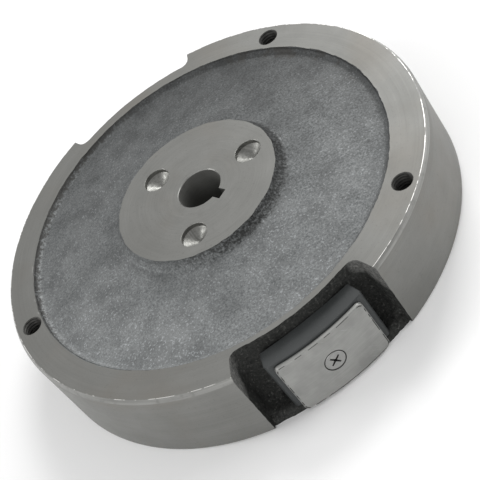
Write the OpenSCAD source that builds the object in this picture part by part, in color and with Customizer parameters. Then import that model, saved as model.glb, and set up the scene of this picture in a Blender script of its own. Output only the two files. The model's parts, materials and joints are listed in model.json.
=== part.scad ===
// Magneto flywheel of a small engine: one grey-iron casting, machined on its rim and hub,
// with a keyed bore, three tapped rim holes and one ignition magnet under a steel pole shoe.
// Frame: +Z along the crank axis towards the front (fan side). The origin is on the bore's
// axis at the back (engine side) face. The magnet is near -Y.

/* [Rim] */
// Outside diameter of the rim
rim_d = 200; // [196:1:210]
// Width of the rim, back face to front face
rim_w = 36.7; // [34:0.1:40]
// Inside diameter of the machined front face
rim_face_inner_d = 170.8; // [168:0.1:172]
// Inside diameter of the rim at the back face
rim_back_inner_d = 160; // [156:1:162]
// Radial size of the chamfer on the rim's front edge
edge_radial = 1; // [0.5:0.1:1.5]
// Axial size of the chamfer on the rim's front edge
edge_axial = 1.9; // [1:0.1:2.5]

/* [Web] */
// Depth of the web below the rim's front face, next to the rim
web_sink = 2.2; // [1:0.1:4]
// Height of the web above the rim's front face, next to the hub
web_crown = 2.8; // [1:0.1:4]
// Thickness of the web
web_t = 11; // [9:0.5:14]
// Fillet radius where the web meets rim and hub
cast_fillet = 3; // [2:0.5:3.5]
// Sideways shift of the sand core against the machined axis, along X
core_shift_x = -1.3; // [-1.5:0.1:1.5]
// Sideways shift of the sand core against the machined axis, along Y
core_shift_y = 1.2; // [-1.5:0.1:1.5]

/* [Hub] */
// Diameter of the machined hub face
hub_d = 75; // [72:0.5:78]
// Height of the hub face above the rim's front face
hub_rise = 6.8; // [6:0.1:9]
// Diameter of the hub at the back face
hub_back_d = 62; // [58:1:66]
// Diameter of the crankshaft bore
bore_d = 20; // [18:0.5:22]
// Width of the keyway
key_w = 4.8; // [4:0.1:6]
// Depth of the keyway below the wall of the bore
key_depth = 4; // [2.5:0.1:4.5]
// Direction of the keyway, degrees from +X
key_angle = -63; // [-180:1:180]
// Number of drilled dimples in the hub face
dimple_count = 3; // [2:1:6]
// Diameter of the circle that the dimples lie on
dimple_pcd = 51; // [48:0.5:54]
// Diameter of a dimple
dimple_d = 12; // [8:0.5:13]
// Depth of a dimple's straight wall
dimple_wall = 2; // [1:0.5:6]

/* [Rim holes] */
// Directions of the tapped rim holes, degrees from +X
rim_hole_angles = [-45, 45, 178];
// Diameter of the circle that the rim holes lie on
rim_hole_pcd = 184; // [182:0.5:186]
// Tapping-drill diameter of a rim hole
rim_hole_d = 8.4; // [8.4, 8.6]
// Diameter of the countersink at a rim hole's mouth
rim_hole_mouth_d = 9.4; // [9.4, 9.6]
// Depth of a rim hole's straight wall, from the front face
rim_hole_depth = 20; // [12:1:24]

/* [Pocket and notch] */
// Direction of the magnet pocket's middle, degrees from +X
pocket_angle = -89; // [-92:0.5:-86]
// Angle that the magnet pocket spans
pocket_span = 39.8; // [38:0.1:42]
// Radius of the pocket's floor at the front face
pocket_floor_r = 86.8; // [86:0.1:86.8]
// Draft angle of the pocket's floor
pocket_draft = 0.5; // [0.1:0.1:0.5]
// Radius of the pocket's corners
pocket_corner = 4.5; // [3:0.5:6]
// Thickness of the ledge left under the magnet
ledge_t = 3.5; // [2.5:0.1:5]
// Radius of the ledge's rough outer edge
ledge_r = 96.8; // [95:0.1:97.5]
// Direction of the plain notch's middle, degrees from +X
notch_angle = 91; // [88:0.5:94]
// Angle that the notch spans
notch_span = 39.3; // [36:0.1:42]
// Radius of the notch's floor
notch_floor_r = 91.8; // [90:0.1:93]
// Radius of the notch's corners
notch_corner = 3; // [2:0.5:4]

/* [Magnet and shoe] */
// Direction of the magnet's middle, degrees from +X
magnet_angle = -88.3; // [-90:0.1:-87]
// Angle that the magnet spans
magnet_span = 28; // [25:0.1:28]
// Distance of the magnet's inner face from the crank axis, at its middle
magnet_inner_r = 87.2; // [87.2:0.1:89]
// Radius that the magnet's inner face is curved to
magnet_face_r = 200; // [100:10:400]
// Depth of the magnet's front end below the rim's front face
magnet_sink = 5.7; // [5:0.1:6.5]
// Width of the bevel on the magnet's outer corners
magnet_bevel = 1.2; // [0.5:0.1:2]
// Radius of the pole shoe's outer face
shoe_r = 99.5; // [99:0.1:99.8]
// Thickness of the pole shoe
shoe_t = 2; // [1.2:0.1:2]
// Length of the pole shoe across its ends
shoe_l = 41.4; // [38:0.1:42]
// Depth of the pole shoe's front edge below the rim's front face
shoe_sink = 6.8; // [6.5:0.1:8]
// Height of the pole shoe along the axis
shoe_h = 28.5; // [26:0.1:28.6]
// Radius of the pole shoe's corners
shoe_corner = 2.2; // [1:0.1:4]
// Direction of the screw, degrees from +X
screw_angle = -88.4; // [-90:0.1:-87]
// Height of the screw's axis above the back face
screw_z = 16; // [14:0.1:18]
// Diameter of the screw's head
screw_head_d = 9.4; // [8.5:0.1:10]
// Diameter of the screw's thread
screw_d = 5; // [4:0.5:5]
// Length of the screw, head and all
screw_l = 18; // [16:0.5:19]

/* [Hidden] */
$fn = 96;

// A cut's run past the faces that it opens
over = 1;
// Radial play of a piece in its hole or on its seat
play = 0.1;
// Half of the included angle of a drill's point
drill_half = 59;
// Edge break on the machined back edges
back_edge = 0.8;
// Straight taper of the hub's cast side, and how far the machined front face stands over it
hub_taper = 1.3;
hub_skin = 1.2;
// Depth of the screw's cross recess and the width of one of its arms
cross_depth = 2;
cross_w = 1.1;
cross_l = 5;

rim_r = rim_d / 2;
hub_r = hub_d / 2;
hub_top = rim_w + hub_rise;
face_inner_r = rim_face_inner_d / 2;
web_rim_z = rim_w - web_sink;
web_hub_z = rim_w + web_crown;
back_inner_r = rim_back_inner_d / 2;
hub_back_r = hub_back_d / 2;
// The cast core reaches this far into the rim ring, so that the two fuse
core_r = face_inner_r + 1;
shoe_inner_r = shoe_r - shoe_t;
magnet_outer_r = shoe_inner_r - play;

// Points of a quarter fillet about a centre c, from angle a0 to a1
function arc_points(c, r, a0, a1, steps = 5) =
  [for (i = [0:steps]) c + r * [cos(a0 + (a1 - a0) * i / steps), sin(a0 + (a1 - a0) * i / steps)]];

// Turns the children to a direction and tips +Z outward along the radius, at height z
module radial(angle, z) {
  rotate([0, 0, angle]) translate([0, 0, z]) rotate([0, 90, 0]) children();
}

// Sector of a revolved section (radius, z), centred on a direction
module sector(angle, span) {
  rotate([0, 0, angle - span / 2]) rotate_extrude(angle = span, $fn = 360) children();
}

// Round-cornered cut into the rim from outside, from height z0 up through the front face
module rim_cut(angle, span, floor_r, corner, z0) {
  h = rim_w + over - z0;
  out_r = rim_r + over;
  corner_r = floor_r + corner;
  corner_half = span / 2 - asin(corner / corner_r);
  translate([0, 0, z0]) {
    sector(angle, 2 * corner_half) translate([floor_r, 0]) square([out_r - floor_r, h]);
    sector(angle, span) translate([corner_r, 0]) square([out_r - corner_r, h]);
    for (side = [-1, 1])
      rotate([0, 0, angle + side * corner_half]) translate([corner_r, 0, 0]) cylinder(r = corner, h = h);
  }
}

// Machined ring of the rim, bored out off centre where the cast core comes through
module rim_ring() {
  difference() {
    rotate_extrude($fn = 360) polygon([
      [0, 0],
      [rim_r - back_edge, 0],
      [rim_r, back_edge],
      [rim_r, rim_w - edge_axial],
      [rim_r - edge_radial, rim_w],
      [0, rim_w],
    ]);
    translate([core_shift_x, core_shift_y, -over]) cylinder(r = face_inner_r, h = rim_w + 2 * over, $fn = 360);
  }
}

// Web and hub as cast, about the core's own axis
module cast_core() {
  f = cast_fillet;
  side_r = hub_r + hub_taper;
  rotate_extrude($fn = 360) polygon(concat(
    [[0, 0], [hub_back_r, 0]],
    arc_points([hub_back_r + 1 + f, web_hub_z - web_t - f], f, 180, 95),
    arc_points([back_inner_r - 2 - f, web_rim_z - web_t - f], f, 85, 0),
    [[back_inner_r, 0], [core_r, 0], [core_r, rim_w], [face_inner_r, rim_w]],
    [[face_inner_r - 0.4, web_rim_z + f * 0.5]],
    arc_points([face_inner_r - 0.4 - f, web_rim_z + f], f, -30, -90, 3),
    arc_points([side_r + f, web_hub_z + f], f, -95, -160, 3),
    [[hub_r, hub_top - hub_skin], [hub_r, hub_top], [0, hub_top]]
  ));
}

module keyed_bore() {
  translate([0, 0, -over]) cylinder(d = bore_d, h = hub_top + 2 * over);
  rotate([0, 0, key_angle]) translate([0, -key_w / 2, -over])
    cube([bore_d / 2 + key_depth, key_w, hub_top + 2 * over]);
}

// Drilled hole from a face at height z downwards: straight wall, then the drill's point
module drilled(d, wall, z) {
  translate([0, 0, z - wall]) cylinder(d = d, h = wall + over);
  translate([0, 0, z - wall - d / 2 / tan(drill_half)])
    cylinder(r1 = 0, r2 = d / 2, h = d / 2 / tan(drill_half));
}

module dimples() {
  for (i = [0:dimple_count - 1])
    rotate([0, 0, i * 360 / dimple_count]) translate([dimple_pcd / 2, 0, 0])
      drilled(dimple_d, dimple_wall, hub_top);
}

module rim_holes() {
  mouth = (rim_hole_mouth_d - rim_hole_d) / 2;
  for (a = rim_hole_angles)
    rotate([0, 0, a]) translate([rim_hole_pcd / 2, 0, 0]) {
      drilled(rim_hole_d, rim_hole_depth, rim_w);
      translate([0, 0, rim_w - mouth])
        cylinder(d1 = rim_hole_d, d2 = rim_hole_mouth_d + 2 * over, h = mouth + over);
    }
}

// Magnet pocket: a drafted floor down to the ledge, which is trimmed back to its rough edge
module magnet_pocket() {
  fall = tan(pocket_draft);
  difference() {
    rim_cut(pocket_angle, pocket_span, pocket_floor_r - 0.2, pocket_corner, ledge_t);
    cylinder(r1 = pocket_floor_r + rim_w * fall, r2 = pocket_floor_r - 2 * over * fall,
             h = rim_w + 2 * over, $fn = 360);
  }
  sector(pocket_angle, pocket_span)
    translate([ledge_r, -over]) square([rim_r + over - ledge_r, rim_w]);
}

// Screw's shape grown by a clearance, from inside the rim out past the shoe
module screw_shape(clearance, past = 0) {
  head_r = screw_head_d / 2;
  shank_r = screw_d / 2;
  radial(screw_angle, screw_z) {
    translate([0, 0, shoe_r - screw_l]) cylinder(r = shank_r + clearance, h = screw_l - head_r + shank_r);
    translate([0, 0, shoe_r - head_r + shank_r - clearance])
      cylinder(r1 = shank_r, r2 = head_r + clearance, h = head_r - shank_r + clearance);
    if (past > 0)
      translate([0, 0, shoe_r]) cylinder(r = head_r + clearance, h = past);
  }
}

module flywheel() {
  color([0.56, 0.56, 0.54])
    difference() {
      union() {
        rim_ring();
        translate([core_shift_x, core_shift_y, 0]) cast_core();
      }
      keyed_bore();
      dimples();
      rim_holes();
      magnet_pocket();
      rim_cut(notch_angle, notch_span, notch_floor_r, notch_corner, -over);
      radial(screw_angle, screw_z)
        translate([0, 0, back_inner_r - 6]) cylinder(d = screw_d, h = 20);
    }
}

module magnet() {
  color([0.27, 0.28, 0.29])
    difference() {
      sector(magnet_angle, magnet_span) polygon([
        [magnet_inner_r - over, ledge_t],
        [magnet_outer_r, ledge_t],
        [magnet_outer_r, rim_w - magnet_sink],
        [magnet_inner_r - over, rim_w - magnet_sink],
      ]);
      rotate([0, 0, magnet_angle]) translate([magnet_inner_r - magnet_face_r, 0, 0])
        cylinder(r = magnet_face_r, h = rim_w, $fn = 360);
      for (side = [-1, 1])
        rotate([0, 0, magnet_angle + side * magnet_span / 2])
          translate([magnet_outer_r, 0, 0]) rotate([0, 0, 45])
            cube([magnet_bevel * sqrt(2), magnet_bevel * sqrt(2), 3 * rim_w], center = true);
      screw_shape(play * 2, past = 2);
    }
}

module pole_shoe() {
  color([0.6, 0.6, 0.59])
    difference() {
      intersection() {
        rotate_extrude($fn = 360) polygon([
          [shoe_inner_r, 0],
          [shoe_r, 0],
          [shoe_r, rim_w],
          [shoe_inner_r, rim_w],
        ]);
        radial(magnet_angle, rim_w - shoe_sink - shoe_h / 2)
          linear_extrude(rim_d) rounded_plate(shoe_h, shoe_l, shoe_corner);
      }
      screw_shape(play, past = 2);
    }
}

// Rectangle with round corners, centred
module rounded_plate(x, y, r) {
  square([x - 2 * r, y], center = true);
  square([x, y - 2 * r], center = true);
  for (sx = [-1, 1], sy = [-1, 1])
    translate([sx * (x / 2 - r), sy * (y / 2 - r)]) circle(r = r, $fn = 32);
}

module pole_screw() {
  color([0.63, 0.63, 0.62])
    difference() {
      screw_shape(0);
      radial(screw_angle, screw_z)
        for (turn = [35, 125])
          rotate([0, 0, turn]) translate([0, 0, shoe_r])
            cube([cross_w, cross_l, 2 * cross_depth], center = true);
    }
}

flywheel();
magnet();
pole_shoe();
pole_screw();
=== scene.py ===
import json
import math

import bmesh
import bpy
import numpy as np
from mathutils import Matrix, Vector, noise


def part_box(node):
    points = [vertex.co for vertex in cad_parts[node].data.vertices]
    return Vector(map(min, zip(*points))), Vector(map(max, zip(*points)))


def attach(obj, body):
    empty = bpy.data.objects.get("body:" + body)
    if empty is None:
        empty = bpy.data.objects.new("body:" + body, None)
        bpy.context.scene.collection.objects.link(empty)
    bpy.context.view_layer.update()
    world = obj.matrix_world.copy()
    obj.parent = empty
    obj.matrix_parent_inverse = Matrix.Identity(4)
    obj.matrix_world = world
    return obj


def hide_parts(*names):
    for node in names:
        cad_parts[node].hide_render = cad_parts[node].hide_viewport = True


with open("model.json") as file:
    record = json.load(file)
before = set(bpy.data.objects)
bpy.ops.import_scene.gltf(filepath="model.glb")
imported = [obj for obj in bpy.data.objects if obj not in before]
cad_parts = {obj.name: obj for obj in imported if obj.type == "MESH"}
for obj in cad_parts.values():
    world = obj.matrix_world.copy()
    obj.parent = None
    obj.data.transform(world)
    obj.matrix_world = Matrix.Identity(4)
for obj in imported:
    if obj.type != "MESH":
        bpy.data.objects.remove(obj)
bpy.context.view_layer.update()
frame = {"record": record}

MM = 0.001
TAU = 2 * math.pi

# ---------------------------------------------------------------- sizes, from the frame

mounts = {m["name"]: m for m in frame["record"]["mounts"]}


def box_mm(node):
    lo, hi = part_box(node)
    return lo / MM, hi / MM


wheel_lo, wheel_hi = box_mm("flywheel")
shoe_lo, shoe_hi = box_mm("pole_shoe")

RIM_R = (wheel_hi.x - wheel_lo.x) / 2
HUB_TOP = wheel_hi.z
MAGNET_TOP = box_mm("magnet")[1].z
BORE_R = mounts["crank_bore"]["dims"]["r_mm"]
DIMPLES = mounts["puller_dimples"]["dims"]
RIM_HOLES = [mounts["rim_hole_" + letter] for letter in "abc"]

# Turned surfaces, about the crank axis
HUB_RISE = 6.8          # hub face above the rim's front face
RIM_TOP = HUB_TOP - HUB_RISE
EDGE_RADIAL = 1.0       # chamfer on the rim's front edge
EDGE_AXIAL = 1.9
BACK_EDGE = 0.8
BORE_EDGE = 0.35        # edge break round the bore

# Keyway and drill points
KEY_HALF = 2.4          # half of the keyway's width
KEY_DEPTH = 4
KEY_ANGLE = -63
DRILL_HALF = 59         # half of a drill point's included angle

# Cast surfaces, about the sand core's own axis
CORE_SHIFT = Vector((-1.3, 1.2))
FACE_INNER_R = 85.4     # where the turned rim face ends
BACK_INNER_R = 80.0
HUB_R = 37.5
HUB_TAPER = 1.3
HUB_BACK_R = 31.0
WEB_RIM_Z = RIM_TOP - 2.2
WEB_HUB_Z = RIM_TOP + 2.8
WEB_T = 11.0
FILLET = 3.0

# Pocket and notch in the rim
POCKET = {"angle": -89, "span": 39.8, "floor": 86.8, "draft": 0.5, "corner": 4.5}
NOTCH = {"angle": 91, "span": 39.3, "floor": 91.8, "draft": 0, "corner": 4.0}
LEDGE_T = 3.5
LEDGE_R = 96.8
LEDGE_FILLET = 5.0      # at the pocket's ends; behind the magnet the corner is nearly square
WALL_R = 94             # middle radius of the pocket's side walls
OVERRUN = 12            # how far a rim cut runs past the rim

# Magnet, shoe and screw
MAGNET_ANGLE = -88.3
MAGNET_SPAN = 28.0
MAGNET_IN_R = 87.2      # at its middle
MAGNET_FACE_R = 200     # what its inner face is curved to
SHOE_R = 99.5
SHOE_T = 2.0
MAGNET_OUT_R = SHOE_R - SHOE_T - 0.1
MAGNET_BEVEL = 1.2
SHOE_CORNER = 2.2
SCREW_ANGLE = -88.4
SCREW_Z = 16.0
SCREW_HEAD_R = 4.7
SCREW_R = 2.5
SCREW_L = 18.0

# Material slots of the casting, in the order of IRON
MACHINED, CAST, POCKET_SHADE_SKIN, DRILLED, CHAMFER, EDGE_HIGHLIGHT, THREAD = range(7)


# ---------------------------------------------------------------- camera

CAMERA = {"aim": (0.88, -34.38, 36.7), "azimuth": -88.24, "elevation": 41.0, "roll": 38.6,
          "distance": 596.8, "lens": 110.94}


def make_camera():
    """A long lens looking down at the front of the wheel, rolled so that the wheel leans in the picture."""
    azimuth, elevation, roll = (math.radians(CAMERA[k]) for k in ("azimuth", "elevation", "roll"))
    back = Vector((math.cos(azimuth) * math.cos(elevation), math.sin(azimuth) * math.cos(elevation),
                   math.sin(elevation)))
    right = Vector((0, 0, 1)).cross(back).normalized()
    upright = back.cross(right)
    up = upright * math.cos(roll) + right * math.sin(roll)
    side = up.cross(back)
    data = bpy.data.cameras.new("camera")
    data.lens = CAMERA["lens"]
    data.sensor_width = 36
    data.clip_start, data.clip_end = 0.01, 20
    camera = bpy.data.objects.new("camera", data)
    place = (Vector(CAMERA["aim"]) + back * CAMERA["distance"]) * MM
    camera.matrix_world = Matrix.Translation(place) @ Matrix((side, up, back)).transposed().to_4x4()
    bpy.context.scene.collection.objects.link(camera)
    bpy.context.scene.camera = camera


make_camera()


# ---------------------------------------------------------------- mesh helpers

def wobble(point, size, amount):
    """Smooth noise at a point, of a grain size and a height in mm."""
    return noise.noise(Vector(point) / size) * amount


def cast_skin(point, coarse=0.10, fine=0.05):
    """Height of a sand-cast skin over its smooth shape."""
    return wobble(point, 6.0, coarse) + wobble(point, 1.9, fine)


def arc(cx, cz, r, a0, a1, steps):
    """Points of an arc in a section, angles in degrees."""
    angles = np.radians(np.linspace(a0, a1, steps + 1))
    return [(cx + r * math.cos(a), cz + r * math.sin(a)) for a in angles]


def run(p, q, steps):
    """Points from p towards q, without q itself."""
    return [tuple(np.add(p, np.subtract(q, p) * i / steps)) for i in range(steps)]


def polar(r, degrees, z=0.0):
    a = math.radians(degrees)
    return Vector((r * math.cos(a), r * math.sin(a), z))


def new_object(name, verts, faces, slots, materials, smooth_angle=35):
    """An object from points in mm, with a material index for each face and sharp edges by angle."""
    mesh = bpy.data.meshes.new(name)
    mesh.from_pydata([tuple(Vector(v) * MM) for v in verts], [], faces)
    for material in materials:
        mesh.materials.append(material)
    mesh.polygons.foreach_set("material_index", slots)
    obj = bpy.data.objects.new(name, mesh)
    bpy.context.scene.collection.objects.link(obj)
    finish_normals(obj, smooth_angle)
    return obj


def finish_normals(obj, smooth_angle):
    shape = bmesh.new()
    shape.from_mesh(obj.data)
    bmesh.ops.recalc_face_normals(shape, faces=shape.faces)
    shape.to_mesh(obj.data)
    shape.free()
    obj.data.shade_smooth()
    obj.data.set_sharp_from_angle(angle=math.radians(smooth_angle))


def loft(loops, closed_ends=True):
    """Points and faces of a tube through loops of equal count, with flat ends."""
    count = len(loops[0])
    verts = [p for loop in loops for p in loop]
    faces = []
    for k in range(len(loops) - 1):
        for i in range(count):
            j = (i + 1) % count
            faces.append((k * count + i, k * count + j, (k + 1) * count + j, (k + 1) * count + i))
    if closed_ends:
        faces.append(tuple(range(count)))
        last = (len(loops) - 1) * count
        faces.append(tuple(last + i for i in reversed(range(count))))
    return verts, faces


def cut(obj, cutters):
    """Takes the cutters out of obj, one exact boolean each, and deletes them."""
    for cutter in cutters:
        modifier = obj.modifiers.new("cut", "BOOLEAN")
        modifier.operation = "DIFFERENCE"
        modifier.solver = "EXACT"
        modifier.object = cutter
        apply_modifiers(obj)
        bpy.data.objects.remove(cutter)


def apply_modifiers(obj):
    graph = bpy.context.evaluated_depsgraph_get()
    mesh = bpy.data.meshes.new_from_object(obj.evaluated_get(graph))
    obj.modifiers.clear()
    obj.data = mesh


# ---------------------------------------------------------------- materials

# The mix node's inputs and its output for colours
MIX_FACTOR, MIX_A, MIX_B, MIX_RESULT = 0, 6, 7, 2


class Nodes:
    """Short names for building a material's node tree."""

    def __init__(self, name):
        self.material = bpy.data.materials.new(name)
        self.material.use_nodes = True
        self.tree = self.material.node_tree
        self.shader = self.tree.nodes["Principled BSDF"]
        self.coords = self.tree.nodes.new("ShaderNodeTexCoord").outputs["Object"]

    def link(self, source, socket):
        """Joins an output to a socket, or sets the socket if the source is a plain value."""
        if isinstance(source, (int, float, tuple)):
            socket.default_value = source
        else:
            self.tree.links.new(source, socket)

    def math(self, operation, a, b=0.0, clamp=False):
        node = self.tree.nodes.new("ShaderNodeMath")
        node.operation = operation
        node.use_clamp = clamp
        self.link(a, node.inputs[0])
        self.link(b, node.inputs[1])
        return node.outputs[0]

    def length(self, x, y):
        squares = self.math("ADD", self.math("MULTIPLY", x, x), self.math("MULTIPLY", y, y))
        return self.math("SQRT", squares)

    def vector(self, x, y, z):
        node = self.tree.nodes.new("ShaderNodeCombineXYZ")
        for source, socket in zip((x, y, z), node.inputs):
            self.link(source, socket)
        return node.outputs[0]

    def split(self, vector):
        node = self.tree.nodes.new("ShaderNodeSeparateXYZ")
        self.link(vector, node.inputs[0])
        return node.outputs

    def noise(self, scale, detail=3.0, roughness=0.55, vector=None):
        node = self.tree.nodes.new("ShaderNodeTexNoise")
        self.link(self.coords if vector is None else vector, node.inputs["Vector"])
        node.inputs["Scale"].default_value = scale
        node.inputs["Detail"].default_value = detail
        node.inputs["Roughness"].default_value = roughness
        return node.outputs["Fac"]

    def cells(self, scale):
        node = self.tree.nodes.new("ShaderNodeTexVoronoi")
        self.link(self.coords, node.inputs["Vector"])
        node.inputs["Scale"].default_value = scale
        return node.outputs["Distance"]

    def ramp(self, value, *stops):
        """Each stop is (position, grey or rgb)."""
        node = self.tree.nodes.new("ShaderNodeValToRGB")
        self.link(value, node.inputs[0])
        elements = node.color_ramp.elements
        while len(elements) < len(stops):
            elements.new(0.5)
        for element, (position, colour) in zip(elements, stops):
            rgb = (colour,) * 3 if isinstance(colour, (int, float)) else colour
            element.position = position
            element.color = (*rgb, 1)
        return node.outputs[0]

    def mix(self, share, a, b, blend="MIX"):
        node = self.tree.nodes.new("ShaderNodeMix")
        node.data_type = "RGBA"
        node.blend_type = blend
        self.link(share, node.inputs[MIX_FACTOR])
        for value, socket in ((a, MIX_A), (b, MIX_B)):
            self.link((*value, 1) if isinstance(value, tuple) else value, node.inputs[socket])
        return node.outputs[MIX_RESULT]

    def between(self, value, dark, pale):
        """A colour between two, where a noise runs from 0.3 to 0.7."""
        return self.mix(self.ramp(value, (0.3, 0), (0.7, 1)), dark, pale)

    def bump(self, height, distance_mm, strength):
        node = self.tree.nodes.new("ShaderNodeBump")
        node.inputs["Strength"].default_value = strength
        node.inputs["Distance"].default_value = distance_mm * MM
        self.link(height, node.inputs["Height"])
        return node.outputs[0]

    def finish(self, colour, roughness, normal, metallic=0.0):
        self.link(colour, self.shader.inputs["Base Color"])
        self.link(roughness, self.shader.inputs["Roughness"])
        self.link(normal, self.shader.inputs["Normal"])
        self.shader.inputs["Metallic"].default_value = metallic
        return self.material


def around(n, per_mm_radial, per_mm_axial, turns):
    """Coordinates that stretch a noise along the turning direction: fine across it, long around it."""
    x, y, z = n.split(n.coords)
    r = n.length(x, y)
    outward = n.math("MULTIPLY", r, per_mm_radial / MM)
    along = n.math("MULTIPLY", z, per_mm_axial / MM)
    return n.vector(n.math("ADD", outward, along), n.math("MULTIPLY", n.math("DIVIDE", x, r), turns),
                    n.math("MULTIPLY", n.math("DIVIDE", y, r), turns))


def machined_iron():
    """Fine-turned grey iron: circular tool marks, small pores, faint brown handling stains."""
    n = Nodes("machined_iron")
    lines = n.noise(1.0, 4, 0.7, around(n, 1.6, 1.6, 1.5))
    bands = n.noise(1.0, 2, 0.5, around(n, 0.12, 0.12, 2.0))
    cloud = n.noise(28, 4, 0.6)
    stain = n.noise(19, 3, 0.6)
    speck = n.noise(900, 2, 0.6)
    pores = n.ramp(n.cells(420), (0.04, 0), (0.07, 1))
    tone = n.between(lines, (0.182, 0.183, 0.173), (0.222, 0.222, 0.21))
    tone = n.mix(n.ramp(bands, (0.35, 0), (0.7, 0.35)), tone, (0.262, 0.262, 0.25))
    tone = n.mix(n.ramp(cloud, (0.40, 0), (0.68, 0.6)), tone, (0.166, 0.166, 0.156))
    tone = n.mix(n.ramp(stain, (0.52, 0), (0.70, 0.30)), tone, (0.195, 0.172, 0.142))
    tone = n.mix(n.ramp(speck, (0.60, 0), (0.72, 0.35)), tone, (0.13, 0.127, 0.12))
    tone = n.mix(pores, (0.15, 0.145, 0.135), tone)
    rough = n.ramp(cloud, (0.3, 0.44), (0.75, 0.56))
    height = n.math("ADD", lines, n.math("MULTIPLY", pores, 0.3))
    return n.finish(tone, rough, n.bump(height, 0.02, 0.5), metallic=0.6)


def ring_coordinates(n):
    """Radius about the sand core's axis in metres, the unit direction from it, and the height."""
    x, y, z = n.split(n.coords)
    x = n.math("SUBTRACT", x, CORE_SHIFT.x * MM)
    y = n.math("SUBTRACT", y, CORE_SHIFT.y * MM)
    r = n.length(x, y)
    return r, n.math("DIVIDE", x, r), n.math("DIVIDE", y, r), z


def facing(n, x, y, degrees):
    """Cosine of the angle between a direction from the axis and a given one."""
    a = math.radians(degrees)
    return n.math("ADD", n.math("MULTIPLY", x, math.cos(a)), n.math("MULTIPLY", y, math.sin(a)))


def beyond(n, value, edge_mm, per_mm):
    """0 below an edge in mm, rising to 1 over the next 1 / per_mm mm."""
    return n.math("MULTIPLY", n.math("SUBTRACT", value, edge_mm * MM), per_mm / MM, clamp=True)


def hub_corner_shade(n, ragged, x, y):
    """Share of painted shade in the corner between web and hub, most of it towards +X and -Y."""
    reach = n.math("SUBTRACT", ragged, n.math("MULTIPLY", facing(n, x, y, -30), 1.6 * MM))
    near = n.math("SUBTRACT", 1.0, beyond(n, reach, HUB_R + 0.9, 0.45))
    near = n.math("MULTIPLY", near, n.ramp(facing(n, x, y, -45), (0.0, 0.25), (0.6, 1)))
    return n.math("MULTIPLY", near, n.ramp(n.noise(900, 2, 0.7), (0.44, 0.95), (0.60, 0.35)))


def rim_stains(n, ragged, x, y):
    """Share of dark spots on the web beside the rim, towards +X."""
    spots = n.ramp(n.noise(130, 3, 0.6), (0.48, 0), (0.60, 1))
    stained = n.math("MULTIPLY", beyond(n, ragged, 79.5, 0.5), spots)
    return n.math("MULTIPLY", stained, n.ramp(facing(n, x, y, 28), (0.72, 0), (0.95, 0.75)))


def rim_step_shadow(n, ragged, x, y):
    """Share of painted shadow in the corner between web and rim, towards -X and +Y."""
    towards = n.ramp(facing(n, x, y, 142), (0.45, 0), (0.85, 0.85))
    return n.math("MULTIPLY", beyond(n, ragged, 83.2, 0.8), towards)


def cast_iron():
    """Grey iron with a shot-blast skin: bright flecks in a grey grain, dull clouds, dark stains by the rim,
    painted shade beside hub and rim, and painted shade that darkens the web towards +X and +Y.
    """
    n = Nodes("cast_iron")
    grain = n.noise(1150, 3, 0.75)
    lumps = n.noise(420, 3, 0.6)
    cloud = n.noise(30, 4, 0.65)
    patch = n.noise(80, 4, 0.65)
    flecks = n.ramp(n.noise(1050, 2, 0.6), (0.58, 0), (0.67, 1))
    tone = n.mix(n.ramp(grain, (0.32, 0), (0.68, 1)), (0.092, 0.097, 0.098), (0.293, 0.306, 0.307))
    tone = n.mix(n.ramp(cloud, (0.40, 0), (0.68, 0.5)), tone, (0.285, 0.293, 0.292))
    tone = n.mix(n.ramp(patch, (0.44, 0), (0.66, 0.55)), tone, (0.095, 0.099, 0.100))
    sparkle = n.math("MULTIPLY", flecks, n.ramp(cloud, (0.36, 0.12), (0.62, 0.75)))
    tone = n.mix(sparkle, tone, (0.46, 0.48, 0.49))
    r, x, y, _ = ring_coordinates(n)
    rag = n.noise(600, 3, 0.7)
    ragged = n.math("ADD", r, n.math("MULTIPLY", n.math("SUBTRACT", rag, 0.5), 10 * MM))
    # Painted shade in the corner between web and hub.
    tone = n.mix(hub_corner_shade(n, ragged, x, y), tone, (0.022, 0.023, 0.022))
    # Painted shade: the web darker towards +X and +Y and lighter on the far side, more so towards the rim.
    shade_falloff = n.math("MULTIPLY", facing(n, x, y, 48), n.math("MULTIPLY", r, 1 / (86 * MM)))
    shade_falloff = n.math("ADD", n.math("MULTIPLY", shade_falloff, 0.5), 0.5)
    tone = n.mix(1.0, tone, n.ramp(shade_falloff, (0, 1.0), (1, 0.28)), "MULTIPLY")
    tone = n.mix(rim_stains(n, ragged, x, y), tone, (0.04, 0.038, 0.034))
    # Painted shadow along the step between web and rim.
    tone = n.mix(rim_step_shadow(n, ragged, x, y), tone, (0.035, 0.034, 0.031))
    rough = n.ramp(grain, (0.3, 0.66), (0.7, 0.52))
    height = n.math("ADD", n.math("MULTIPLY", grain, 0.6), lumps)
    return n.finish(tone, rough, n.bump(height, 0.11, 0.75), metallic=0.45)


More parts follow.
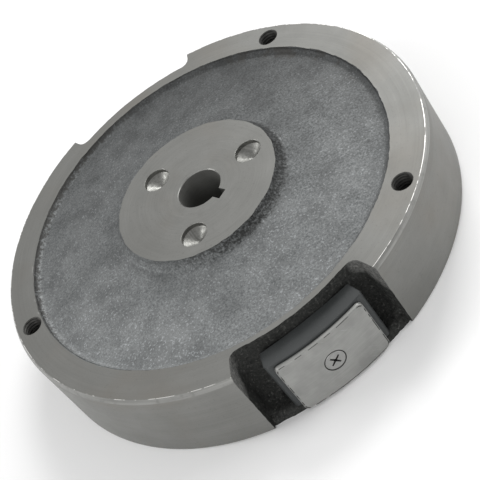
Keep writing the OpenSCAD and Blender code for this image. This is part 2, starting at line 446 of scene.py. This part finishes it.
def pocket_iron():
    """Rough cast skin in the pocket and the notch, coloured darker than the web as painted shade, with a
    paler band at the top of the pocket's side walls as painted light.
    """
    n = Nodes("pocket_iron")
    grain = n.noise(900, 4, 0.7)
    lumps = n.noise(220, 3, 0.6)
    flecks = n.ramp(n.noise(800, 2, 0.6), (0.58, 0), (0.70, 1))
    # Painted shade: a very dark base tone that stands for the shade in the pocket and the notch.
    tone = n.between(grain, (0.012, 0.0125, 0.012), (0.045, 0.046, 0.043))
    tone = n.mix(n.math("MULTIPLY", flecks, 0.4), tone, (0.17, 0.17, 0.16))
    r, x, y, z = ring_coordinates(n)
    # Painted light: the pocket's side walls are paler near the mouth, down to a ragged line, where light
    # falls in over the rim.
    wall = n.ramp(facing(n, x, y, POCKET["angle"]), (0.944, 1), (0.953, 0))
    depth = n.math("ADD", z, n.math("MULTIPLY", n.math("SUBTRACT", r, 91 * MM), 0.9))
    depth = n.math("ADD", depth, n.math("MULTIPLY", n.math("SUBTRACT", lumps, 0.5), 6 * MM))
    mouth = n.math("MULTIPLY", wall, beyond(n, depth, 28.5, 0.35))
    lit_mouth_tone = n.between(grain, (0.035, 0.035, 0.034), (0.24, 0.24, 0.23))
    tone = n.mix(n.math("MULTIPLY", mouth, 0.85), tone, lit_mouth_tone)
    rough = n.ramp(grain, (0.3, 0.85), (0.7, 0.7))
    height = n.math("ADD", n.math("MULTIPLY", grain, 0.7), lumps)
    n.shader.inputs["Specular IOR Level"].default_value = 0.25
    return n.finish(tone, rough, n.bump(height, 0.25, 0.9), metallic=0.1)


def drilled_iron():
    """Drilled surfaces: tool rings and a dulled cut."""
    n = Nodes("drilled_iron")
    rings = n.noise(1.0, 3, 0.6, around(n, 2.2, 3.0, 1.0))
    grain = n.noise(700, 3, 0.6)
    tone = n.between(rings, (0.20, 0.20, 0.19), (0.37, 0.37, 0.35))
    tone = n.mix(n.ramp(grain, (0.45, 0), (0.7, 0.5)), tone, (0.12, 0.118, 0.11))
    rough = n.ramp(grain, (0.3, 0.38), (0.7, 0.52))
    return n.finish(tone, rough, n.bump(n.math("ADD", rings, grain), 0.03, 0.6), metallic=0.95)


def tapped_iron():
    """Tapped holes, coloured dark as painted shade inside the holes, with paler clouds."""
    n = Nodes("tapped_iron")
    grain = n.noise(600, 3, 0.6)
    cloud = n.noise(160, 2, 0.5)
    # Painted shade: dark tones for the inside of the holes.
    tone = n.between(grain, (0.030, 0.030, 0.028), (0.085, 0.084, 0.079))
    tone = n.mix(n.ramp(cloud, (0.5, 0), (0.7, 0.6)), tone, (0.15, 0.148, 0.14))
    return n.finish(tone, n.ramp(grain, (0.3, 0.5), (0.7, 0.68)), n.bump(grain, 0.05, 0.6), metallic=0.4)


def turned_edge():
    """Chamfers, cut last and still brighter than the faces beside them."""
    n = Nodes("turned_edge")
    lines = n.noise(1.0, 3, 0.6, around(n, 2.0, 2.0, 3.0))
    nicks = n.noise(260, 3, 0.6)
    tone = n.between(lines, (0.22, 0.22, 0.21), (0.33, 0.33, 0.316))
    tone = n.mix(n.ramp(nicks, (0.55, 0), (0.68, 0.6)), tone, (0.2, 0.2, 0.19))
    return n.finish(tone, n.ramp(nicks, (0.3, 0.36), (0.7, 0.5)), n.bump(lines, 0.02, 0.5), metallic=0.85)


def burred_edge():
    """A fine bright line along the chamfer's upper edge, broken in places: a painted highlight."""
    n = Nodes("burred_edge")
    broken = n.ramp(n.noise(90, 4, 0.75), (0.47, 0), (0.52, 1))
    grain = n.noise(1500, 2, 0.6)
    dull = n.between(grain, (0.23, 0.23, 0.22), (0.28, 0.28, 0.265))
    # Painted highlight: near-white where the line is unbroken.
    tone = n.mix(broken, dull, (0.9, 0.89, 0.86))
    return n.finish(tone, n.ramp(broken, (0, 0.5), (1, 0.3)), n.bump(grain, 0.03, 0.6), metallic=0.8)


def ferrite():
    """Ground ferrite: dark grey ceramic, smooth, with a few pale grains."""
    n = Nodes("ferrite")
    cloud = n.noise(70, 3, 0.6)
    grain = n.noise(1400, 2, 0.6)
    tone = n.between(cloud, (0.030, 0.0335, 0.034), (0.041, 0.0445, 0.045))
    tone = n.mix(n.ramp(grain, (0.62, 0), (0.75, 0.35)), tone, (0.10, 0.105, 0.105))
    rough = n.ramp(cloud, (0.3, 0.50), (0.7, 0.62))
    return n.finish(tone, rough, n.bump(grain, 0.02, 0.4), metallic=0.1)


def shoe_steel():
    """Ground steel plate: a pale grey with long faint scratches and dull patches."""
    n = Nodes("shoe_steel")
    x, y, z = n.split(n.coords)
    streaks = n.noise(1.0, 3, 0.6, n.vector(n.math("MULTIPLY", x, 90), n.math("MULTIPLY", y, 90),
                                            n.math("MULTIPLY", z, 1500)))
    cloud = n.noise(75, 3, 0.55)
    across = n.math("MULTIPLY", n.math("ADD", x, z), 1400)
    along = n.math("MULTIPLY", n.math("SUBTRACT", x, z), 45)
    scratches = n.ramp(n.noise(1.0, 2, 0.5, n.vector(across, along, 0.0)), (0.70, 0), (0.76, 1))
    tone = n.between(streaks, (0.315, 0.318, 0.305), (0.36, 0.36, 0.348))
    tone = n.mix(n.ramp(cloud, (0.42, 0), (0.66, 0.65)), tone, (0.245, 0.248, 0.238))
    tone = n.mix(n.math("MULTIPLY", scratches, 0.5), tone, (0.5, 0.5, 0.49))
    rough = n.ramp(cloud, (0.3, 0.42), (0.7, 0.55))
    return n.finish(tone, rough, n.bump(n.math("ADD", streaks, scratches), 0.01, 0.5), metallic=0.7)


def screw_steel():
    """Steel screw, ground flush with the shoe."""
    n = Nodes("screw_steel")
    grain = n.noise(700, 3, 0.6)
    cloud = n.noise(180, 2, 0.5)
    tone = n.between(grain, (0.31, 0.31, 0.30), (0.37, 0.37, 0.36))
    tone = n.mix(n.ramp(cloud, (0.5, 0), (0.7, 0.4)), tone, (0.25, 0.25, 0.24))
    rough = n.ramp(grain, (0.3, 0.38), (0.7, 0.52))
    return n.finish(tone, rough, n.bump(grain, 0.015, 0.5), metallic=0.8)


def grime():
    """Near-black colour put as painted shade in the screw's recess, in the gap round its head and in the
    groove along the shoe's edge.
    """
    n = Nodes("grime")
    grain = n.noise(1100, 3, 0.6)
    # Painted shade: near-black tones.
    tone = n.between(grain, (0.012, 0.012, 0.011), (0.04, 0.038, 0.034))
    return n.finish(tone, n.ramp(grain, (0.3, 0.6), (0.7, 0.8)), n.bump(grain, 0.05, 0.6))


def floor_paint():
    """Plain pale studio floor with a barely visible unevenness."""
    n = Nodes("floor_paint")
    cloud = n.noise(3, 2, 0.5)
    tone = n.between(cloud, (0.93, 0.93, 0.93), (0.95, 0.95, 0.95))
    return n.finish(tone, n.ramp(cloud, (0.3, 0.75), (0.7, 0.85)), n.bump(cloud, 0.05, 0.1))


IRON = [machined_iron(), cast_iron(), pocket_iron(), drilled_iron(), turned_edge(), burred_edge(),
        tapped_iron()]
GAP_SHADE = grime()


# ---------------------------------------------------------------- flywheel casting

SEGMENTS = 720


def section():
    """The casting's section as rings: (radius, z, share of the core shift, roughness of the skin, slot).

    It runs down the bore from its front edge, out along the back, up the rim and back in over the web.
    """
    side_r = HUB_R + HUB_TAPER
    rings = []

    def add(points, shift, rough, slot):
        """Adds a run of rings. A pair of shifts is blended along the run."""
        first, last = shift if isinstance(shift, tuple) else (shift, shift)
        for i, (r, z) in enumerate(points):
            rings.append((r, z, first + (last - first) * i / len(points), rough, slot))

    add([(BORE_R + BORE_EDGE, HUB_TOP)], 0, 0, CHAMFER)
    add(run((BORE_R, HUB_TOP - BORE_EDGE), (BORE_R, BORE_EDGE), 6), 0, 0, MACHINED)
    add([(BORE_R, BORE_EDGE)], 0, 0, MACHINED)
    add(run((BORE_R + BORE_EDGE, 0), (HUB_BACK_R - 0.6, 0), 10), (0, 1), 0, MACHINED)
    add([(HUB_BACK_R - 0.6, 0)], 1, 0, MACHINED)
    add(run((HUB_BACK_R, 0.6), (HUB_BACK_R + 1, WEB_HUB_Z - WEB_T - FILLET), 14), 1, 1, CAST)
    add(arc(HUB_BACK_R + 1 + FILLET, WEB_HUB_Z - WEB_T - FILLET, FILLET, 180, 95, 6), 1, 1, CAST)
    inner = BACK_INNER_R - 2 - FILLET
    web_back = run((HUB_BACK_R + 1 + FILLET + 1, WEB_HUB_Z - WEB_T - 0.1), (inner, WEB_RIM_Z - WEB_T), 30)
    add(web_back, 1, 1, CAST)
    add(arc(inner, WEB_RIM_Z - WEB_T - FILLET, FILLET, 85, 0, 6), 1, 1, CAST)
    add(run((BACK_INNER_R - 2, WEB_RIM_Z - WEB_T - FILLET - 1), (BACK_INNER_R, 0.5), 14), 1, 1, CAST)
    add(run((BACK_INNER_R + 0.4, 0), (RIM_R - BACK_EDGE, 0), 8), (1, 0), 0, MACHINED)
    add([(RIM_R - BACK_EDGE, 0)], 0, 0, MACHINED)
    add(run((RIM_R, BACK_EDGE), (RIM_R, RIM_TOP - EDGE_AXIAL), 8), 0, 0, MACHINED)
    add([(RIM_R, RIM_TOP - EDGE_AXIAL)], 0, 0, CHAMFER)
    # The chamfer's upper edge, coloured with the painted highlight.
    add([(RIM_R - EDGE_RADIAL, RIM_TOP)], 0, 0, EDGE_HIGHLIGHT)
    add(run((RIM_R - EDGE_RADIAL - 0.28, RIM_TOP), (FACE_INNER_R, RIM_TOP), 8), (0, 1), 0, MACHINED)
    add([(FACE_INNER_R, RIM_TOP)], 1, 0, MACHINED)
    drop = WEB_RIM_Z + FILLET
    add(run((FACE_INNER_R - 0.15, RIM_TOP - 0.3), (FACE_INNER_R - 0.5, drop - FILLET * 0.6), 3), 1, 1, CAST)
    add(arc(FACE_INNER_R - 0.2 - FILLET, drop, FILLET, -28, -88, 6), 1, 1, CAST)
    web_front = run((FACE_INNER_R - 1.2 - FILLET, WEB_RIM_Z + 0.1), (side_r + FILLET + 0.6, WEB_HUB_Z), 56)
    add(web_front, 1, 1, CAST)
    add(arc(side_r + FILLET, WEB_HUB_Z + FILLET, FILLET, -92, -150, 6), 1, 1, CAST)
    add(run((HUB_R + 0.9, WEB_HUB_Z + FILLET * 0.7), (HUB_R, HUB_TOP - 0.2), 4), 1, 0.8, CAST)
    add(run((HUB_R - 0.1, HUB_TOP), (BORE_R + BORE_EDGE, HUB_TOP), 14), (1, 0), 0, MACHINED)
    return rings


def casting_blank():
    """The revolved casting before anything is cut in it. Cast skin is rough, and so is the edge where a
    machined face ends at it."""
    rings = section()
    verts = []
    for k, (r, z, share, rough, slot) in enumerate(rings):
        (r0, z0), (r1, z1) = (rings[(k + d) % len(rings)][:2] for d in (-1, 1))
        out = Vector((z1 - z0, r0 - r1)).normalized()
        for i in range(SEGMENTS):
            a = TAU * i / SEGMENTS
            way = Vector((math.cos(a), math.sin(a)))
            flat = way * r + CORE_SHIFT * share
            lift = cast_skin((flat.x, flat.y, z)) * rough
            if slot == MACHINED and share == 1:
                uneven = wobble((flat.x, flat.y, 50), 4.0, 0.35) + wobble((flat.x, flat.y, 90), 1.3, 0.15)
                flat = flat + way * uneven
            flat = flat + way * (out.x * lift)
            verts.append((flat.x, flat.y, z + out.y * lift))
    faces, slots = [], []
    count = len(rings)
    for k in range(count):
        for i in range(SEGMENTS):
            j = (i + 1) % SEGMENTS
            k1 = (k + 1) % count
            faces.append((k * SEGMENTS + i, k * SEGMENTS + j, k1 * SEGMENTS + j, k1 * SEGMENTS + i))
            both = {rings[k][4], rings[k1][4]}
            slots.append(CAST if CAST in both else rings[k][4])
    return new_object("flywheel_casting", verts, faces, slots, IRON)


def fillet_gap(z, radius):
    """How far a fillet over the ledge stands into the pocket at one height."""
    up = z - LEDGE_T
    if up >= radius:
        return 0.0
    return radius - math.sqrt(max(0.0, radius ** 2 - (radius - max(up, 0.0)) ** 2))


def rim_outline(cutout, z, fillet=0.0):
    """Plan outline of a rim cut at one height: floor arc, round corners and walls out past the rim."""
    slope = (RIM_TOP - z) * math.tan(math.radians(cutout["draft"]))
    corner = cutout["corner"]
    centre_r = cutout["floor"] + slope + corner
    gap = fillet_gap(z, fillet)
    half = cutout["span"] / 2 - math.degrees(gap / WALL_R)
    tuck = math.degrees(math.asin(corner / centre_r))
    clear = MAGNET_SPAN / 2 + 0.5
    points = []
    for a in np.linspace(-(half - tuck), half - tuck, 90):
        share = min(1.0, max(0.0, (abs(a) - clear) / 2.0))
        points.append(polar(cutout["floor"] + slope + fillet_gap(z, fillet * (0.08 + 0.92 * share)),
                            cutout["angle"] + a, z))
    for side in (1, -1):
        middle = polar(centre_r + gap, cutout["angle"] + side * (half - tuck), z)
        turn = [cutout["angle"] + side * (half - tuck) + 180 - side * t for t in np.linspace(6, 90, 10)]
        bend = [middle + polar(corner, t) for t in turn]
        wall = []
        for r in np.linspace(centre_r + gap + 0.7, RIM_R + OVERRUN, 36):
            held = min(1.0, max(0.0, (LEDGE_R - r) / 3.0))
            wide = cutout["span"] / 2 - math.degrees(gap * held / WALL_R)
            wall.append(polar(r, cutout["angle"] + side * wide, z))
        points += bend + wall if side > 0 else (bend + wall)[::-1]
    return points


def rough_cut(name, cutout, heights, fillet, rough):
    """Cutter for the pocket or the notch, with a cast skin on its walls."""
    loops = []
    for z in heights:
        loop = []
        for p in rim_outline(cutout, z, fillet):
            way = Vector((p.x, p.y, 0)).normalized()
            side = Vector((-way.y, way.x, 0))
            loop.append(p + way * (wobble(p, 4.5, 0.35) + wobble(p, 1.4, 0.16)) * rough
                        + side * (wobble(p, 3.5, 0.16) + wobble(p, 1.2, 0.12)) * rough)
        loops.append(loop)
    verts, faces = loft(loops)
    return new_object(name, verts, faces, [POCKET_SHADE_SKIN] * len(faces), IRON)


def pocket_cutter():
    foot = [LEDGE_T + up for up in (0.0, 0.1, 0.3, 0.6, 1.0, 1.5, 2.1, 2.8, 3.6, 4.4)]
    return rough_cut("pocket_cutter", POCKET, foot + list(np.linspace(LEDGE_T + 5.1, RIM_TOP + 1, 40)),
                     LEDGE_FILLET, 1.0)


def notch_cutter():
    heights = list(np.linspace(-1, RIM_TOP + 1, 44))
    return rough_cut("notch_cutter", NOTCH, heights, 0.0, 0.6)


def ledge_cutter():
    """Trims the ledge under the magnet back to an uneven rounded edge."""
    loops = []
    half = POCKET["span"] / 2
    for z in (-1.0, 0.0, 0.6, 1.2, 1.8, 2.4, 2.8, 3.1, 3.3, 3.45, LEDGE_T + 1):
        back = LEDGE_T - math.sqrt(max(0.0, LEDGE_T ** 2 - min(z, LEDGE_T - 0.02) ** 2)) - 0.5
        inner = []
        for a in np.linspace(-half, half, 80):
            wave = 0.9 * math.exp(-((a + half) / 3.5) ** 2) + 0.9 * math.exp(-((a - half) / 3.5) ** 2)
            p = polar(LEDGE_R - back + wave, POCKET["angle"] + a, z)
            inner.append(p + Vector((p.x, p.y, 0)).normalized() * (wobble(p, 5, 0.5) + wobble(p, 1.5, 0.2)))
        outer = [polar(RIM_R + 3, POCKET["angle"] + a, z) for a in np.linspace(half, -half, 20)]
        loops.append(inner + outer)
    verts, faces = loft(loops)
    return new_object("ledge_cutter", verts, faces, [POCKET_SHADE_SKIN] * len(faces), IRON)


def round_cutter(name, place, steps, sides, thread=None, slot=DRILLED):
    """Turned cutter on a vertical axis: steps are (radius, z) from the top down. A thread is (z from, z to,
    pitch, depth), cut as a helical ripple of the radius."""
    loops = []
    for r, z in steps:
        loop = []
        for i in range(sides):
            a = TAU * i / sides
            extra = 0.0
            if thread and thread[0] >= z >= thread[1]:
                phase = (z / thread[2] - i / sides) % 1.0
                extra = thread[3] * (1 - abs(2 * phase - 1))
            loop.append(place + Vector(((r + extra) * math.cos(a), (r + extra) * math.sin(a), z)))
        loops.append(loop)
    verts, faces = loft(loops)
    return new_object(name, verts, faces, [slot] * len(faces), IRON)


def drilled_steps(r, lip, top, wall):
    """Steps of a drilled hole with a small lip, a straight wall and a drill point with a blunt tip."""
    point = r / math.tan(math.radians(DRILL_HALF))
    mouth = [(r + lip + 1, top + 1), (r, top - lip)]
    straight = [(r, top - lip - (wall - lip) * k / 3) for k in (1, 2, 3)]
    cone = [(r * (1 - k / 6), top - wall - point * k / 6) for k in range(1, 5)]
    blunt = [(r * 0.2, top - wall - point * 0.78), (r * 0.08, top - wall - point * 0.84)]
    return mouth + straight + cone + blunt + [(0.1, top - wall - point * 0.85)]


def dimple_cutters():
    cutters = []
    steps = drilled_steps(DIMPLES["hole_r_mm"], 0.15, HUB_TOP, 2.0)
    for i in range(DIMPLES["count"]):
        place = polar(DIMPLES["pcd_mm"] / 2, i * 360 / DIMPLES["count"])
        cutters.append(round_cutter("dimple_%d" % i, place, steps, 72))
    return cutters


def rim_hole_cutters():
    """Tapped holes: countersunk mouth, seven turns of thread that can be seen, plain below."""
    pitch, depth, mouth_r = 1.5, 0.4, 4.7
    cutters = []
    for i, hole in enumerate(RIM_HOLES):
        r = hole["dims"]["r_mm"]
        place = Vector((*hole["pos_m"][:2], 0)) / MM
        mouth = mouth_r - r
        thread_top, thread_end = RIM_TOP - mouth * 0.5, RIM_TOP - 7 * pitch
        steps = [(mouth_r + 1, RIM_TOP + 1), (mouth_r, RIM_TOP), (r + mouth * 0.5, thread_top + 0.05)]
        steps += [(r + mouth * 0.5 * max(0.0, 1 - (thread_top - z) / (mouth * 0.5)), z)
                  for z in np.arange(thread_top, thread_end, -pitch / 8)]
        steps += [(r, thread_end - 0.2), (r, RIM_TOP - 20), (r * 0.5, RIM_TOP - 21), (0.1, RIM_TOP - 22)]
        thread = (thread_top, thread_end, pitch, depth)
        cutters.append(round_cutter("rim_hole_%d" % i, place, steps, 48, thread, THREAD))
    return cutters


def key_cutter():
    """Keyway, from the middle of the bore out to its floor, right through."""
    inside, out = 4, BORE_R + KEY_DEPTH
    corners = [(inside, -KEY_HALF), (out, -KEY_HALF), (out, KEY_HALF), (inside, KEY_HALF)]
    turn = Matrix.Rotation(math.radians(KEY_ANGLE), 3, "Z")
    loops = [[turn @ Vector((x, y, z)) for x, y in corners] for z in (-1, HUB_TOP + 1)]
    verts, faces = loft(loops)
    return new_object("key_cutter", verts, faces, [DRILLED] * len(faces), IRON)


SCREW_TURN = Matrix.Rotation(math.radians(SCREW_ANGLE), 3, "Z") @ Matrix.Rotation(math.radians(90), 3, "Y")


def screw_point(x, y, along):
    """Point given across the pole screw's axis and along it, from the crank axis outwards."""
    return SCREW_TURN @ Vector((x - SCREW_Z, y, along))


def screw_ring(r, along, sides):
    angles = [TAU * i / sides for i in range(sides)]
    return [screw_point(r * math.cos(a), r * math.sin(a), along) for a in angles]


def screw_hole_cutter():
    """The tapped hole for the pole screw, from the pocket's floor out through the inside of the rim."""
    verts, faces = loft([screw_ring(SCREW_R, along, 32) for along in (BACK_INNER_R - 6, BACK_INNER_R + 14)])
    return new_object("screw_hole_cutter", verts, faces, [DRILLED] * len(faces), IRON)


def flywheel():
    casting = casting_blank()
    cut(casting, [pocket_cutter(), ledge_cutter(), notch_cutter(), key_cutter(), screw_hole_cutter()]
        + dimple_cutters() + rim_hole_cutters())
    finish_normals(casting, 35)
    return casting


# ---------------------------------------------------------------- magnet, shoe and screw

def chamfer_edges(obj, width_mm, angle):
    """Breaks an object's edges that turn by more than an angle."""
    modifier = obj.modifiers.new("bevel", "BEVEL")
    modifier.width = width_mm * MM
    modifier.segments = 1
    modifier.limit_method = "ANGLE"
    modifier.angle_limit = math.radians(angle)
    modifier.harden_normals = False
    apply_modifiers(obj)
    finish_normals(obj, 35)


def magnet():
    """Ferrite block: bowed inner and outer faces, bevelled outer corners, a worn edge."""
    half = MAGNET_SPAN / 2
    bevel = math.degrees(MAGNET_BEVEL / MAGNET_OUT_R)
    centre = MAGNET_IN_R - MAGNET_FACE_R
    plan = []
    for a in np.linspace(-half, half, 48):
        t = math.radians(a)
        r = centre * math.cos(t) + math.sqrt(MAGNET_FACE_R ** 2 - (centre * math.sin(t)) ** 2)
        plan.append(polar(r, MAGNET_ANGLE + a))
    plan += [polar(MAGNET_OUT_R - MAGNET_BEVEL, MAGNET_ANGLE + half)]
    plan += [polar(MAGNET_OUT_R, MAGNET_ANGLE + a) for a in np.linspace(half - bevel, bevel - half, 48)]
    plan += [polar(MAGNET_OUT_R - MAGNET_BEVEL, MAGNET_ANGLE - half)]
    loops = [[p + Vector((0, 0, z)) for p in plan] for z in (LEDGE_T, MAGNET_TOP)]
    verts, faces = loft(loops)
    obj = new_object("magnet_block", verts, faces, [0] * len(faces), [ferrite()])
    chamfer_edges(obj, 0.3, 20)
    return obj


def shoe_grid_point(u, v, r):
    """Point of the shoe at u across (mm from its middle) and v up (mm above the back face)."""
    a = MAGNET_ANGLE + math.degrees(math.asin(u / r))
    return polar(r, a, v)


def rounded_rectangle(w, h, r, per_corner=8, per_side=24):
    """Points round a rectangle with round corners, centred, in order."""
    x, y = w / 2 - r, h / 2 - r
    centres = [(x, y), (-x, y), (-x, -y), (x, -y)]
    side_ends = [(-x, h / 2), (-w / 2, -y), (x, -h / 2), (w / 2, y)]
    points = []
    for quarter, ((cx, cy), side_end) in enumerate(zip(centres, side_ends)):
        points += arc(cx, cy, r, 90 * quarter, 90 * quarter + 90, per_corner - 1)
        points += run(points[-1], side_end, per_side)[1:]
    return points


def pole_shoe():
    """Bowed steel plate with round corners, a turned-over edge and a countersunk hole."""
    w, h = shoe_hi.x - shoe_lo.x, shoe_hi.z - shoe_lo.z
    middle = (shoe_hi.z + shoe_lo.z) / 2
    inner_r = SHOE_R - SHOE_T
    loops = []
    for r, inset in ((inner_r, 0.25), (inner_r + 0.2, 0.05), (inner_r + 0.5, 0.0), (SHOE_R - 0.35, 0.0),
                     (SHOE_R - 0.1, 0.08), (SHOE_R, 0.25), (SHOE_R - 0.12, 0.42), (SHOE_R, 0.6)):
        outline = rounded_rectangle(w - 2 * inset, h - 2 * inset, SHOE_CORNER)
        loops.append([shoe_grid_point(u, middle + v, r) for u, v in outline])
    verts, faces = loft(loops, closed_ends=False)
    count = len(loops[0])
    groove = len(faces) - 2 * count
    cap_plate(verts, faces, 0, count, w, h, middle, inner_r)
    cap_plate(verts, faces, (len(loops) - 1) * count, count, w, h, middle, SHOE_R)
    slots = [0] * len(faces)
    # Painted shade: the small groove round the outer face's edge takes the near-black slot in long
    # stretches, as a dark line.
    for i in range(groove, groove + 2 * count):
        slots[i] = 1 if wobble(verts[faces[i][0]], 2.5, 1.0) > -0.12 else 0
    obj = new_object("pole_shoe_plate", verts, faces, slots, [shoe_steel(), GAP_SHADE])
    # The countersink in the shoe takes the near-black slot: painted shade in the gap round the screw's
    # head.
    steps = [(SCREW_HEAD_R + 1.2, SHOE_R + 1), (SCREW_HEAD_R + 0.15, SHOE_R - 0.05),
             (SCREW_HEAD_R - 2, SHOE_R - 2.2)]
    verts, faces = loft([screw_ring(r, along, 64) for r, along in steps])
    cut(obj, [new_object("shoe_hole_cutter", verts, faces, [1] * len(faces), list(obj.data.materials))])
    finish_normals(obj, 35)
    return obj


def cap_plate(verts, faces, start, count, w, h, middle, r):
    """Closes a bowed plate's face with rings that shrink to its middle, so that it stays bowed."""
    previous = list(range(start, start + count))
    outline = rounded_rectangle(w, h, SHOE_CORNER)
    for share in (0.93, 0.8, 0.6, 0.4, 0.2, 0.05):
        ring = []
        for u, v in outline:
            ring.append(len(verts))
            verts.append(shoe_grid_point(u * share, middle + v * share, r))
        for i in range(count):
            j = (i + 1) % count
            faces.append((previous[i], previous[j], ring[j], ring[i]))
        previous = ring
    faces.append(tuple(previous))


def cross_outline(reach, half):
    """Plan of a cross recess, its arms a little narrower at their ends."""
    points = []
    for arm in range(4):
        turn = math.radians(35 + 90 * arm)
        c, s = math.cos(turn), math.sin(turn)
        for x, y in ((half, -half), (reach, -0.75 * half), (reach, 0.75 * half)):
            points.append((x * c - y * s, x * s + y * c))
    return points


def pole_screw():
    """Countersunk screw with a cross recess, its head flush with the shoe, and a threaded shank."""
    steel = [screw_steel(), GAP_SHADE]
    sides, pitch = 64, 0.8
    top, tip = SHOE_R - 0.03, SHOE_R - SCREW_L
    head = [(SCREW_HEAD_R - 0.5, top), (SCREW_HEAD_R - 0.38, top - 0.12), (SCREW_HEAD_R - 0.5, top - 0.4),
            (SCREW_R - 0.1, top - 2.4)]
    shank = [(SCREW_R - 0.4, along) for along in np.arange(top - 2.6, tip + 0.8, -0.1)]
    loops = []
    for r, along in head + shank + [(SCREW_R - 0.9, tip)]:
        crest = 0.38 if tip + 0.8 < along < top - 2.5 else 0.0
        loop = []
        for i in range(sides):
            ridge = 1 - abs(2 * ((along / pitch - i / sides) % 1) - 1)
            radius, a = r + crest * ridge, TAU * i / sides
            loop.append(screw_point(radius * math.cos(a), radius * math.sin(a), along))
        loops.append(loop)
    verts, faces = loft(loops)
    # Painted shade: the head's cone under the shoe's face takes the near-black slot, in the gap round the
    # head.
    slots = [1 if sides * 2 <= i < sides * 3 else 0 for i in range(len(faces))]
    obj = new_object("pole_screw_bolt", verts, faces, slots, steel)
    # The cross recess takes the near-black slot: painted shade inside it.
    levels = ((top + 0.3, 2.8, 0.5), (top, 2.7, 0.45), (top - 1.0, 1.7, 0.36), (top - 2.0, 0.8, 0.25))
    loops = [[screw_point(x, y, along) for x, y in cross_outline(reach, half)]
             for along, reach, half in levels]
    verts, faces = loft(loops)
    cut(obj, [new_object("cross_cutter", verts, faces, [1] * len(faces), steel)])
    finish_normals(obj, 30)
    return obj


# ---------------------------------------------------------------- put together

pieces = [
    (flywheel(), "flywheel", "cast_iron"),
    (magnet(), "magnet", "ferrite"),
    (pole_shoe(), "pole_shoe", "shoe_steel"),
    (pole_screw(), "pole_screw", "screw_steel"),
]
for piece, node, slot in pieces:
    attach(piece, "root")
    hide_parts(node)


# ---------------------------------------------------------------- floor and light

def make_floor():
    """A plain pale floor, flat and far wider than the view."""
    size = 3000
    verts = [(-size, -size, 0), (size, -size, 0), (size, size, 0), (-size, size, 0)]
    floor = new_object("floor", verts, [(0, 1, 2, 3)], [0], [floor_paint()])


def area_light(name, place, aim, size, power):
    """A rectangular white light at a place in metres, turned towards its aim."""
    data = bpy.data.lights.new(name, "AREA")
    data.shape = "RECTANGLE"
    data.size, data.size_y = size
    data.energy = power
    light = bpy.data.objects.new(name, data)
    light.location = place
    light.rotation_mode = "QUATERNION"
    light.rotation_quaternion = (Vector(aim) - Vector(place)).to_track_quat("-Z", "Y")
    bpy.context.scene.collection.objects.link(light)


def make_light():
    world = bpy.data.worlds.new("studio")
    world.use_nodes = True
    background = world.node_tree.nodes["Background"]
    background.inputs["Color"].default_value = (1, 1, 1, 1)
    background.inputs["Strength"].default_value = 0.5
    bpy.context.scene.world = world
    centre = (0, 0, 0.02)
    area_light("back_right", (0.51, 0.73, 0.8), centre, (0.45, 0.45), 7.5)
    area_light("left", (-0.95, 0.4, 0.7), centre, (0.4, 0.4), 4)
    area_light("front_left", (-0.6, -1.0, 0.6), centre, (1.0, 0.6), 5.1)
    area_light("right", (1.1, -0.1, 0.5), centre, (0.6, 0.6), 5.0)


make_floor()
make_light()
bpy.context.scene.view_settings.view_transform = "Standard"
